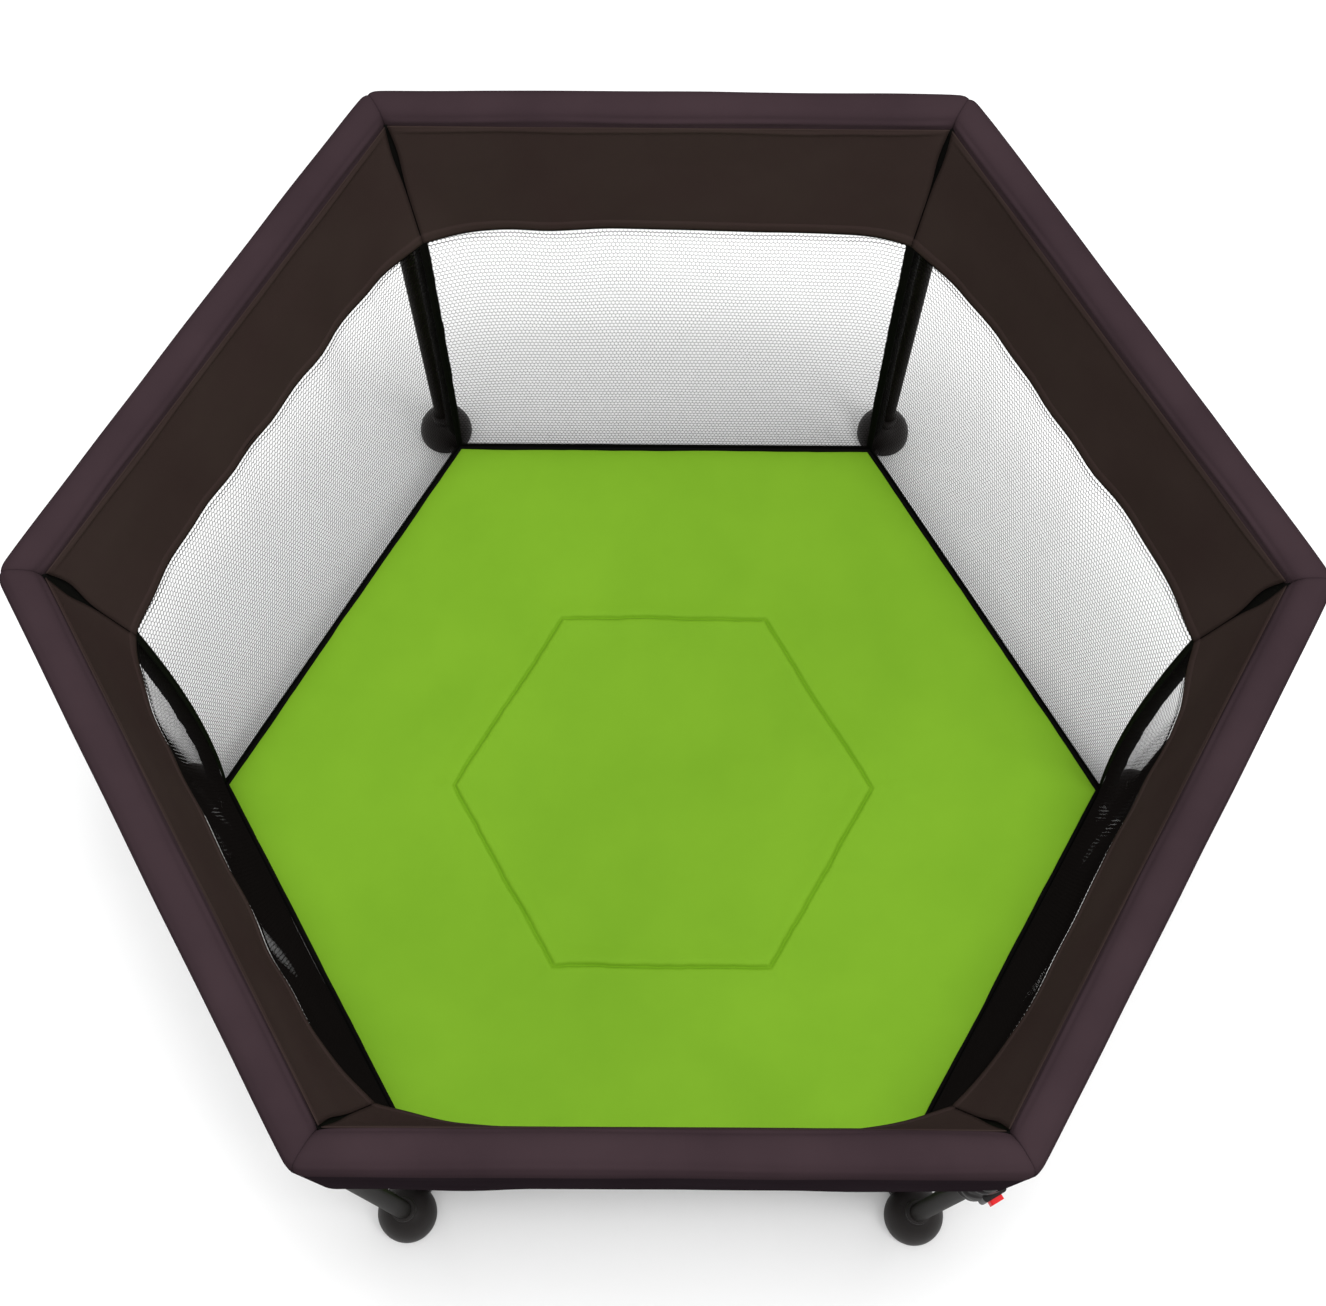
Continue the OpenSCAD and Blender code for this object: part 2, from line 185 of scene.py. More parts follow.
def surface(name, across, down, place, material, thickness, uv):
    """A sheet over the parameters in `across` and `down`, placed by place(x, y)."""
    points = [place(x, y) for y in down for x in across]
    uvs = [uv(x, y) for y in down for x in across]
    piece = make_piece(name, points, grid_faces(len(down), len(across)), material, uvs)
    thicken(piece, thickness)
    return piece


def side_axes(i):
    """Outward direction of side i, and the direction along it towards the next corner."""
    angle = (2 * i - 1) * HALF
    return (Vector((math.cos(angle), math.sin(angle), 0)),
            Vector((-math.sin(angle), math.cos(angle), 0)))


def on_side(i, a, t, z):
    out, along = side_axes(i)
    return out * a + along * t + Vector((0, 0, z))


def corner_direction(i):
    angle = 2 * HALF * (i - 1)
    return Vector((math.cos(angle), math.sin(angle), 0))


def mitred(i, share, offset, z):
    """A point `offset` outside the rim's middle line; share runs from -1 at one corner to 1 at the next.

    Both ends lie on the corner's mitre. Outside the middle line the corner is slightly rounded."""
    a = RIM_MID + offset
    from_end = (1 - abs(share)) * a * TAN
    pull = CORNER_PULL * max(0, 1 - from_end / CORNER_RUN) ** 2 * max(0, offset) / (RIM_W / 2)
    corner = corner_direction(i + 1 if share > 0 else i)
    return on_side(i, a, share * a * TAN, z) - corner * pull


HALF_SIDE = RIM_MID * TAN          # half a side's length along the rim's middle line


def fold_with_wall(piece, i, radius):
    """The piece rides on the leg at its start, with a mesh of its own."""
    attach(piece, f"leg_{i}")
    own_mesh(piece)


# --- material helpers ---

def colour(red, green, blue):
    """Scene colour from a screen colour of 0 to 255."""
    def linear(c):
        c /= 255
        return c / 12.92 if c <= 0.04045 else ((c + 0.055) / 1.055) ** 2.4
    return (linear(red), linear(green), linear(blue), 1)


def add(tree, kind, inputs=None, **settings):
    """A node. Each input is a value, or another node's output."""
    item = tree.nodes.new("ShaderNode" + kind)
    for key, value in settings.items():
        setattr(item, key, value)
    for key, value in (inputs or {}).items():
        if isinstance(value, bpy.types.NodeSocket):
            tree.links.new(value, item.inputs[key])
        else:
            item.inputs[key].default_value = value
    return item


def maths(tree, operation, first, second=0.0, third=0.0):
    return add(tree, "Math", {0: first, 1: second, 2: third}, operation=operation).outputs[0]


def new_material(name, base, roughness, **sockets):
    """A material with its constant values on the shader's own sockets."""
    material = bpy.data.materials.new(name)
    material.use_nodes = True
    tree = material.node_tree
    shader = tree.nodes["Principled BSDF"]
    shader.inputs["Base Color"].default_value = base
    shader.inputs["Roughness"].default_value = roughness
    for key, value in sockets.items():
        shader.inputs[key.replace("_", " ")].default_value = value
    return material, tree, shader


def mottle(tree, shader, dark, light, scale, detail=4.0):
    """Soft variation between two colours, by place."""
    place = add(tree, "TexCoord").outputs["Object"]
    cloud = add(tree, "TexNoise", {"Vector": place, "Scale": scale, "Detail": detail})
    ramp = add(tree, "ValToRGB", {"Fac": cloud.outputs["Fac"]})
    ramp.color_ramp.elements[0].position = 0.3
    ramp.color_ramp.elements[0].color = dark
    ramp.color_ramp.elements[1].position = 0.7
    ramp.color_ramp.elements[1].color = light
    tree.links.new(ramp.outputs["Color"], shader.inputs["Base Color"])


def bump(tree, shader, height, distance, strength=1.0):
    relief = add(tree, "Bump", {"Height": height, "Distance": distance, "Strength": strength})
    tree.links.new(relief.outputs["Normal"], shader.inputs["Normal"])


def cloth_uv(tree):
    """The cloth's own two coordinates, in metres."""
    place = add(tree, "UVMap", uv_map="cloth").outputs["UV"]
    split = add(tree, "SeparateXYZ", {0: place})
    return split.outputs[0], split.outputs[1]


def weave_height(tree, thread):
    """Plain weave of threads `thread` wide, over the cloth's own coordinates."""
    u, v = cloth_uv(tree)
    turns = math.pi / thread
    warp = maths(tree, "SINE", maths(tree, "MULTIPLY", u, turns))
    weft = maths(tree, "SINE", maths(tree, "MULTIPLY", v, turns))
    return maths(tree, "MULTIPLY", warp, weft)


def crumple_height(tree, scale, detail=5.0):
    """Soft noise, with features about 1 / scale metres across."""
    place = add(tree, "TexCoord").outputs["Object"]
    cloud = add(tree, "TexNoise", {"Vector": place, "Scale": scale, "Detail": detail})
    return cloud.outputs["Fac"]


def woven_cloth(name, dark, light, roughness, thread, crumple, gloss=0.0, sheen=0.0):
    """Woven cloth: soft colour variation, a weave of threads `thread` wide, and faint crumpling."""
    material, tree, shader = new_material(
        name, dark, roughness, Sheen_Weight=sheen, Sheen_Roughness=0.4, Specular_IOR_Level=gloss)
    mottle(tree, shader, dark, light, 9.0)
    fine = maths(tree, "MULTIPLY", weave_height(tree, thread), WEAVE_DEPTH)
    coarse = maths(tree, "MULTIPLY", crumple_height(tree, 26.0), crumple)
    bump(tree, shader, maths(tree, "ADD", fine, coarse), 1.0)
    return material


def satin_plastic(name, base, light, roughness, gloss, grain=260.0):
    """Moulded plastic with a fine spark-eroded grain, about 1 / grain metres across."""
    material, tree, shader = new_material(name, base, roughness, Specular_IOR_Level=gloss)
    mottle(tree, shader, base, light, 30.0)
    bump(tree, shader, crumple_height(tree, grain, 2.0), 0.0001, 0.5)
    return material


def painted_metal(name, base, light, roughness, metallic, gloss):
    """Painted or plated metal with a faint orange peel."""
    material, tree, shader = new_material(
        name, base, roughness, Metallic=metallic, Specular_IOR_Level=gloss)
    mottle(tree, shader, base, light, 14.0)
    bump(tree, shader, crumple_height(tree, 90.0, 2.0), 0.0002, 0.3)
    return material


def hex_net(name, base, upright, slanting):
    """Knitted net: hexagonal holes cut out by opacity, over the cloth's own coordinates.

    upright and slanting are half the widths of the two kinds of thread."""
    material, tree, shader = new_material(name, base, 0.8, Specular_IOR_Level=0.0)
    u, v = cloth_uv(tree)
    place = add(tree, "CombineXYZ", {0: u, 1: maths(tree, "DIVIDE", v, NET_STRETCH)}).outputs[0]
    cell = (NET_PITCH, NET_PITCH * math.sqrt(3), 1)
    nearest = []
    for shift in ((0, 0, 0), (cell[0] / 2, cell[1] / 2, 0)):
        moved = add(tree, "VectorMath", {0: place, 1: shift}, operation="ADD").outputs[0]
        wrapped = add(tree, "VectorMath", {0: moved, 1: cell, 2: (0, 0, 0)}, operation="WRAP")
        centred = add(tree, "VectorMath", {0: wrapped.outputs[0], 1: (cell[0] / 2, cell[1] / 2, 0)},
                      operation="SUBTRACT")
        size = add(tree, "VectorMath", {0: centred.outputs[0]}, operation="ABSOLUTE")
        parts = add(tree, "SeparateXYZ", {0: size.outputs[0]})
        slanted = maths(tree, "MULTIPLY_ADD", parts.outputs[0], 0.5,
                        maths(tree, "MULTIPLY", parts.outputs[1], math.sqrt(3) / 2))
        nearest.append(maths(tree, "MAXIMUM", maths(tree, "ADD", parts.outputs[0], upright),
                             maths(tree, "ADD", slanted, slanting)))
    edge = maths(tree, "MINIMUM", nearest[0], nearest[1])
    thread = maths(tree, "GREATER_THAN", edge, NET_PITCH / 2)
    tree.links.new(thread, shader.inputs["Alpha"])
    return material


# --- materials ---

BLACK = colour(16, 14, 13)
FINE = 0.5 * MM                    # thread of the rim's and bands' cloth

rim_cloth = woven_cloth("rim_cloth", colour(50, 39, 43), colour(56, 44, 48),
                        roughness=0.6, thread=FINE, crumple=0.6 * MM)
band_cloth = woven_cloth("band_cloth", colour(52, 41, 39), colour(55, 45, 42),
                         roughness=0.8, thread=FINE, crumple=0.3 * MM)
# the skirt is the rim's cloth painted darker: painted shade for the skirt hanging under the rim
skirt_shaded_cloth = woven_cloth("skirt_shaded_cloth", colour(34, 27, 31), colour(38, 31, 35),
                          roughness=0.8, thread=FINE, crumple=0.6 * MM)
binding_cloth = woven_cloth("binding_cloth", colour(9, 9, 8), colour(13, 12, 11),
                            roughness=0.8, thread=0.8 * MM, crumple=0.4 * MM, gloss=0.02)
mat_cloth = woven_cloth("mat_cloth", colour(109, 156, 29), colour(114, 161, 32),
                        roughness=0.6, thread=0.45 * MM, crumple=0.4 * MM, gloss=0.1)
# the mat's cloth a little darker on the groove round the middle panel: painted shade in the seam groove
mat_seam_shade = woven_cloth("mat_seam_shade", colour(104, 150, 27), colour(109, 155, 30),
                       roughness=0.7, thread=0.45 * MM, crumple=0.4 * MM, gloss=0.05)
floor_cloth = woven_cloth("floor_cloth", colour(30, 28, 28), colour(36, 34, 34),
                          roughness=0.7, thread=0.8 * MM, crumple=0.6 * MM, gloss=0.1, sheen=0.1)
webbing = woven_cloth("webbing", colour(22, 21, 21), colour(30, 28, 28),
                      roughness=0.6, thread=1.6 * MM, crumple=0.2 * MM, gloss=0.15, sheen=0.1)
net_cloth = hex_net("net_cloth", BLACK, upright=0.19 * MM, slanting=0.02 * MM)
net_thread, _, _ = new_material("net_thread", BLACK, 0.8, Specular_IOR_Level=0.0)

frame_paint = painted_metal("frame_paint", colour(15, 12, 9), colour(20, 16, 13),
                            roughness=0.5, metallic=0.0, gloss=0.025)
strut_paint = painted_metal("strut_paint", colour(38, 37, 37), colour(45, 44, 44),
                            roughness=0.45, metallic=0.0, gloss=0.3)
rivet_steel = painted_metal("rivet_steel", colour(170, 170, 172), colour(190, 190, 192),
                            roughness=0.3, metallic=1.0, gloss=0.5)

foot_plastic = satin_plastic("foot_plastic", colour(28, 25, 24), colour(33, 29, 28),
                             roughness=0.5, gloss=0.2)
black_plastic = satin_plastic("black_plastic", colour(20, 19, 19), colour(25, 24, 24),
                              roughness=0.45, gloss=0.15)
red_plastic = satin_plastic("red_plastic", colour(240, 48, 52), colour(244, 56, 59),
                            roughness=0.4, gloss=0.05)
boot_rubber = satin_plastic("boot_rubber", colour(26, 24, 24), colour(34, 31, 31),
                            roughness=0.35, gloss=0.01, grain=120.0)
board = satin_plastic("board", colour(176, 136, 90), colour(190, 150, 102),
                      roughness=0.7, gloss=0.2, grain=60.0)


def finish_node(name, material):
    for slot in frame["nodes"][name].material_slots:
        slot.material = material


# the CAD pieces that stay: one at each corner or side, and single ones
SIX_OF = {"leg_tube_": frame_paint, "rail_left_": frame_paint, "rail_right_": frame_paint,
          "foot_": foot_plastic, "corner_bracket_": black_plastic, "strut_": strut_paint}
ONE_OF = {"hub_base": black_plastic, "hub_cap": black_plastic, "hub_pins": rivet_steel,
          "mat_boards": board, "latch_housing": black_plastic, "release_button": red_plastic,
          "button_spring": rivet_steel}
for prefix, material in SIX_OF.items():
    for i in SIDES:
        finish_node(f"{prefix}{i}", material)
for name, material in ONE_OF.items():
    finish_node(name, material)


# --- padded rim ---

def rim_section(angle, scale):
    """Soft rounded box around the rail: offset outward and height above the rail."""
    roundness = 2 / RIM_ROUNDNESS
    c, s = math.cos(angle), math.sin(angle)
    across = math.copysign(abs(c) ** roundness, c) * RIM_W / 2
    up = math.copysign(abs(s) ** roundness, s) * RIM_H / 2
    return across * scale, up * scale


def ridges(angle, t, i):
    """Two soft folds along the top of the rim's cover, one towards each edge."""
    outer_fold, inner_fold = (0.78, 0.5), (math.pi - 0.50, 1.2)      # place as an angle, and height
    total = 0.0
    for k, (middle, height) in enumerate((outer_fold, inner_fold)):
        off = angle - middle - ripple(130 * MM, 0.16, t, i, 5 * k)
        strength = height * (0.65 + ripple(90 * MM, 0.7, t, 2 * i, 3 * k))
        total += strength * (bell(off, 0.11) - 0.6 * bell(abs(off) - 0.25, 0.12))
    return total * MM


def make_rim(i):
    """Padded cover along side i, gathered and pinched towards its mitred ends."""
    around = 76
    stations = rim_stations()
    points, uvs = [], []
    for share in stations:
        t = share * HALF_SIDE
        from_end = HALF_SIDE - abs(t)
        pinch = 1 - 0.09 * fade(from_end, 4 * MM) - 0.03 * fade(from_end, 25 * MM)
        bow = RIM_BOW * (1 - share * share)
        for k in range(around):
            angle = 2 * math.pi * k / around
            c, s = 30 * MM * math.cos(angle), 30 * MM * math.sin(angle)
            soft = 1 + ripple(90 * MM, 0.03, t, c, s + i)
            gather = ripple(9 * MM, 0.03 * fade(from_end, 30 * MM), t * 0.15, c * 0.7, s * 0.7 + 3 * i)
            fold = ridges(angle, t, i) * (1 - fade(from_end, 12 * MM)) / RIM_H * 2
            offset, up = rim_section(angle, pinch * soft + gather + fold)
            points.append(mitred(i, share, offset, RAIL_Z + up + bow))
            uvs.append((t, RIM_WRAP * k / around))
    rim = make_piece(f"rim_{i}", points, tube_faces(len(stations), around), rim_cloth, uvs)
    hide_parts(f"rim_cover_{i}")
    fold_with_wall(rim, i, RAIL_R)


def rim_stations():
    """Shares of a side from one corner to the next, close together near both."""
    ends = [1 - x for x in (0, 0.003, 0.007, 0.012, 0.018, 0.026, 0.036, 0.05, 0.07, 0.10, 0.13, 0.16)]
    middle = linspace(0.80, -0.80, 61)
    return [-x for x in ends] + [-x for x in middle] + ends[::-1]


# --- outer skirt ---

SKIRT_TOP = RAIL_Z + 2 * MM
SKIRT_LEAN = 5 * MM                # how far its lower edge hangs inward of its top
SKIRT_ARCH = 22 * MM               # how much higher its lower edge is at the middle of a side
FIRST_FOLD = 0.36                  # how far down its first level fold is, as a share of its height
# its level folds: how far below the first, how deep, and how tall; the distances are shares of its height
SKIRT_FOLDS = ((0.0, -3.5 * MM, 0.035), (0.09, 1.2 * MM, 0.05), (0.32, -2.2 * MM, 0.03))


def make_skirt(i):
    """Outer skirt: hangs from the rim to a hemmed, arched lower edge, with level folds."""
    def place(along, share):
        t = along * HALF_SIDE
        low = SKIRT_LOW + SKIRT_ARCH * (1 - along * along) + ripple(60 * MM, 2 * MM, t, i)
        z = mix(SKIRT_TOP, low, share)
        drop = (SKIRT_TOP - z) / (SKIRT_TOP - SKIRT_LOW)
        loose = 1 - fade(HALF_SIDE - abs(t), 30 * MM)
        below = drop - FIRST_FOLD - ripple(200 * MM, 0.12, t, i * 0.9)
        fold = sum(depth * bell(below - down, tall) for down, depth, tall in SKIRT_FOLDS)
        swing = ripple(120 * MM, 4 * MM, t, 0, i * 0.7) * drop
        crease = ripple(25 * MM, 1.2 * MM, t * 0.3, z, i) * drop
        offset = RIM_W / 2 - SKIRT_LEAN * drop - 1.5 * MM + (fold + swing + crease) * loose
        return mitred(i, along, offset, z)

    rows = linspace(0, 0.90, 44) + [0.925, 0.935, 0.94, 0.945, 0.96, 0.98, 1.0]
    height = SKIRT_TOP - SKIRT_LOW
    skirt = surface(f"skirt_{i}", rim_stations(), rows, place, skirt_shaded_cloth, 1.4 * MM,
                    uv=lambda along, share: (along * HALF_SIDE, share * height))
    fold_with_wall(skirt, i, RAIL_R)


# --- inner band, net and corner binding ---

def rim_half_width(up):
    """Half the rim's width at a height above its axis."""
    share = min(1, abs(up) / (RIM_H / 2))
    return RIM_W / 2 * (1 - share ** RIM_ROUNDNESS) ** (1 / RIM_ROUNDNESS)


BAND_START = RIM_MID - rim_half_width(BAND_TOP - RAIL_Z)     # centre to the band's upper edge
MAT_EDGE = MAT_OUT + 0.5 * MM


def wall_depth(z):
    """Centre to the wall, square to a side, at its corners: band above, net below."""
    if z >= BAND_Z:
        return mix(BAND_IN, BAND_START, (z - BAND_Z) / (BAND_TOP - BAND_Z))
    return mix(MAT_EDGE, BAND_IN, (z - MAT_TOP) / (BAND_Z - MAT_TOP))


def arch(along):
    """0 at a corner, rising in a curve to 1 away from it."""
    short = max(0, 1 - (1 - abs(along)) * BAND_IN * TAN / ARCH_RUN)
    return 1 - short * short


def wall_bulge(i, along, z):
    """How much further out wall i is away from its corners, most at the front."""
    edge = BAND_Z + ARCH_RISE
    share = (BAND_TOP - z) / (BAND_TOP - edge) if z > edge else (z - MAT_TOP) / (edge - MAT_TOP)
    return ARCH_OUT * mix(1, 1.35, max(0, -side_axes(i)[0].y)) * arch(along) * max(0, share)


def side_corner(i):
    """1 at the two corners on the X axis, 0 at the other four."""
    return abs(corner_direction(i).x) * 2 - 1


def corner_bow(i, z):
    """How far corner i is pulled in at height z, most at the two side corners."""
    share = min(1, max(0, (z - MAT_TOP) / (BAND_Z - MAT_TOP)))
    return WALL_BOW * mix(0.25, 1, side_corner(i)) * 4 * share * (1 - share)


def wall_point(i, along, z, extra=0.0):
    """A point on the inner wall; along runs from -1 at one corner to 1 at the next."""
    middle = wall_depth(z)
    bow = corner_bow(i + 1 if along > 0 else i, z)
    a = middle - along * along * bow * COS + wall_bulge(i, along, z) + extra
    t = along * (middle / COS - bow) * math.sin(HALF)
    return on_side(i, a, t, z)


def band_edge(along):
    """Height of the band's lower edge."""
    return BAND_Z + ARCH_RISE * arch(along) + ripple(70 * MM, 1.5 * MM, along * 0.28, 0, 3) * arch(along)


def wall_stations(count):
    """From -1 to 1, closer together towards the corners."""
    return [math.sin(math.pi / 2 * x) * 0.35 + x * 0.65 for x in linspace(-1, 1, count)]


HEM_SHARE = 0.93                   # where the band's hem starts, as a share of its height
# opening between a band's end and its corner, which shows dark: at most corners, and at the two on X
GAP_LEAST, GAP_MOST = 3.2 * MM, 6.5 * MM
GAP_DOWN, GAP_RUN = 34 * MM, 32 * MM         # how far below the band's top it is widest, and its run


def looseness(along):
    """0 at a corner, where the band is sewn, rising to 1 away from it."""
    return 1 - fade((1 - abs(along)) * RIM_IN * TAN, 20 * MM)


def band_lift(i, along, share):
    """How far the band's cloth stands off the even wall, most near its lower edge."""
    place_along = along * RIM_IN * TAN
    z = mix(BAND_TOP, band_edge(along), share)
    lift = ripple(110 * MM, 2.5 * MM, place_along, z, i * 1.3) * min(1, share * 3)
    lift += ripple(70 * MM, 5 * MM, place_along, i * 3.1) * bell(share - 1, 0.35)
    return lift * looseness(along)


def make_band(i):
    """Inner band: its cloth comes down off the rim's inner side to a hemmed, curved lower edge."""
    def place(along, share):
        z = mix(BAND_TOP, band_edge(along), share)
        tuck_at = BAND_TOP - 5 * MM - ripple(90 * MM, 3 * MM, along * RIM_IN * TAN, i)
        tuck = 1.3 * MM * bell(z - tuck_at, 2.5 * MM) * looseness(along)
        hem = 1.0 * MM if share > HEM_SHARE else 0.0
        wide = mix(GAP_LEAST, GAP_MOST, side_corner(i + 1 if along > 0 else i))
        opening = wide * bell(z - BAND_TOP + GAP_DOWN, GAP_RUN) + 0.8 * MM
        reach = wall_depth(z) * TAN
        return wall_point(i, along * (1 - opening / reach), z, band_lift(i, along, share) - tuck - hem)

    rows = linspace(0, 0.12, 14) + linspace(0.15, 0.90, 22)
    rows += [HEM_SHARE - 0.01, HEM_SHARE - 0.002, HEM_SHARE + 0.004, 0.96, 0.98, 1.0]
    height = math.hypot(BAND_TOP - BAND_Z, BAND_START - BAND_IN)
    width = 2 * RIM_IN * TAN
    band = surface(f"band_{i}", wall_stations(81), rows, place, band_cloth, 1.2 * MM,
                   uv=lambda along, share: (along * width / 2, share * height))
    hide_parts(f"side_panel_{i}")
    fold_with_wall(band, i, RIM_IN / COS)


def make_net(i):
    """The net wall: an open knit cut by opacity, with its threads' depth as fine zigzag ribbons."""
    low = NET_LOW + 1 * MM
    across = wall_stations(41)
    half_width = BAND_IN * TAN

    def place(along, z):
        lift = 0.8 * MM + ripple(160 * MM, 1.5 * MM, along * 0.28, z, i * 0.9) * (1 - along ** 4)
        sewn = bell(max(0, band_edge(along) - z), SEWN_RUN)
        return wall_point(i, along, z, mix(lift, band_lift(i, along, 1), sewn))

    def top(along):
        return band_edge(along) + NET_TUCK

    selvedge = (NET_TUCK + SELVEDGE) / (BAND_Z - low)
    rows = [0, selvedge] + linspace(2 * selvedge, 1, 44)
    points, uvs = [], []
    for share in rows:
        for along in across:
            z = mix(top(along), low, share)
            points.append(place(along, z))
            uvs.append((along * half_width, z))
    faces = grid_faces(len(rows), len(across))
    marks = [1 if k < len(across) - 1 else 0 for k in range(len(faces))]      # the selvedge is closed
    out, _ = side_axes(i)
    row_height = NET_PITCH * math.sqrt(3) / 2 * NET_STRETCH
    swing = NET_PITCH / math.sqrt(12) / 2 * NET_STRETCH
    reach = int(half_width / (NET_PITCH / 2))
    for row in range(int(low / row_height) + 1, int(RAIL_Z / row_height)):
        line = []
        for k in range(-reach, reach + 1):
            z = (row + 0.5) * row_height + (swing if (k + row) % 2 == 0 else -swing)
            along = k * NET_PITCH / 2 / half_width
            if z < top(along):
                line.append((along, z))
        start = len(points)
        for side in (-0.5, 0.5):
            for along, z in line:
                depth = NET_DEPTH * (EDGE_DEPTH if z > band_edge(along) - EDGE_RUN else 1)
                points.append(place(along, z) + out * (side * depth))
                uvs.append((along * half_width, z))
        strip = grid_faces(2, len(line), start=start)
        faces += strip
        marks += [1] * len(strip)
    net = make_piece(f"net_{i}", points, faces, [net_cloth, net_thread], uvs, marks=marks)
    fold_with_wall(net, i, MAT_R)


def make_binding(i):
    """Folded tape down corner i, over the seam between two walls, and wider behind the bands."""
    heights = linspace(BAND_TOP, BAND_Z + 4 * MM, 16) + linspace(BAND_Z - 2 * MM, NET_LOW, 44)
    before = (i - 2) % CORNERS + 1
    points, uvs = [], []
    spread = (-1.0, -0.7, -0.35, 0.0, 0.35, 0.7, 1.0)
    for z in heights:
        behind = z > BAND_Z
        half = BINDING_WIDE / 2 if behind else BINDING_W / 2
        for s in spread:
            side = i if s >= 0 else before
            reach = wall_depth(z) * TAN
            along = (-1 if s >= 0 else 1) * (1 - abs(s) * half / reach)
            raised = 0.9 * MM * (1 - 0.5 * abs(s)) + ripple(20 * MM, 0.5 * MM, z, s, i)
            points.append(wall_point(side, along, z, 2.5 * MM if behind else -raised))
            uvs.append((s * half, z))
    binding = make_piece(f"corner_binding_{i}", points, grid_faces(len(heights), len(spread)),
                         binding_cloth, uvs)
    thicken(binding, 1.0 * MM)
    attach(binding, f"leg_{i}")


def make_sleeve(i):
    """Soft sleeve down corner i of the net, just outside the seam, from the band to above the foot."""
    around = 20
    out = corner_direction(i)
    across = Vector((-out.y, out.x, 0))
    top = BAND_Z + 14 * MM
    heights = linspace(top, SLEEVE_LOW, 70)
    points, uvs = [], []
    for z in heights:
        seam = wall_point(i, -1, z).length_squared - z * z
        to_end = min(top - z, z - SLEEVE_LOW)
        radius = SLEEVE_R * min(1, 0.55 + to_end / (30 * MM)) + ripple(45 * MM, 0.8 * MM, z, i * 0.5)
        centre = out * (math.sqrt(seam) + radius + 0.5 * MM) + Vector((0, 0, z))
        for k in range(around):
            angle = 2 * math.pi * k / around
            c, s = math.cos(angle), math.sin(angle)
            crease = 1 + ripple(14 * MM, 0.07, z * 0.6, 20 * MM * c, 20 * MM * s + i)
            points.append(centre + (out * c + across * s) * radius * crease)
            uvs.append((radius * angle, z))
    faces = tube_faces(len(heights), around)
    sleeve = make_piece(f"corner_sleeve_{i}", points, faces, binding_cloth, uvs)
    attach(sleeve, f"leg_{i}")


def make_hem(i):
    """Tape along the bottom of the net, sewn to the floor sheet."""
    def place(along, z):
        return wall_point(i, along, z, 0.2 * MM)

    hem = surface(f"net_hem_{i}", wall_stations(31), linspace(NET_LOW + HEM_H, NET_LOW, 5), place,
                  binding_cloth, 1.2 * MM, uv=lambda along, z: (along * MAT_OUT * TAN, z))
    fold_with_wall(hem, i, MAT_R)


for i in SIDES:
    make_rim(i)
    make_skirt(i)
    make_band(i)
    make_net(i)
    make_binding(i)
    make_sleeve(i)
    make_hem(i)


# --- floor mat ---

SEAM_DEPTH, SEAM_W = 3.6 * MM, 2.2 * MM      # groove round the middle panel, and half its width
PUFF_IN, PUFF_OUT = 3.4 * MM, 2.0 * MM       # padding beside the groove, inside and outside it
PUFF_AT, PUFF_W = 9 * MM, 8 * MM             # how far from the groove it stands highest, and its run
SEAM_SHADE_W = 1.1 * MM                         # half the width of the groove's line of painted shade
CREASE_H, CREASE_W = 1.6 * MM, 3 * MM        # creases at the middle panel's corners
CREASE_RUN, CREASE_END = 45 * MM, 120 * MM   # how fast they die out, and where they stop
PIPING_R = 3.4 * MM                          # half the thickness of the piping round the mat


def spread_near(centre, low, high, fine, count):
    """Values from low to high, and some only `fine` apart around centre."""
    coarse = linspace(low, high, count)
    near = [centre + fine * k for k in range(-7, 8)]
    return sorted([x for x in coarse if abs(x - centre) > 8 * fine] + near)


def seam_wander(x, y):
    """How far the middle panel's seam strays from its hexagon."""
    return ripple(60 * MM, 3.0 * MM, x, y, 5) + ripple(14 * MM, 1.0 * MM, x, y, 9)


def mat_surface_height(x, y, out):
    """Relief of the mat's top; out is the distance square out on its own side, less any wander."""
    seam = out - MIDDLE_R * COS
    height = -SEAM_DEPTH * bell(seam, SEAM_W)
    height += PUFF_IN * bell(seam + PUFF_AT, PUFF_W) + PUFF_OUT * bell(seam - PUFF_AT, PUFF_W)
    height += ripple(170 * MM, 2.4 * MM, x, y, 1) + ripple(38 * MM, 0.7 * MM, x, y, 2)
    height += ripple(12 * MM, 0.5 * MM, x, y, 6) * bell(seam, 14 * MM)
    height -= 2.0 * MM * bell(MAT_OUT - out, 10 * MM)
    return height + mat_creases(x, y)


def mat_creases(x, y):
    """Short soft creases that run out from the middle panel's corners."""
    total = 0.0
    for i in SIDES:
        turn = 0.3 * math.sin(2.3 * i)
        start = corner_direction(i) * MIDDLE_R
        angle = 2 * HALF * (i - 1) + turn
        run = (x - start.x) * math.cos(angle) + (y - start.y) * math.sin(angle)
        off = -(x - start.x) * math.sin(angle) + (y - start.y) * math.cos(angle)
        if -5 * MM < run < CREASE_END:
            total += CREASE_H * bell(off, CREASE_W) * fade(run, CREASE_RUN)
    return total


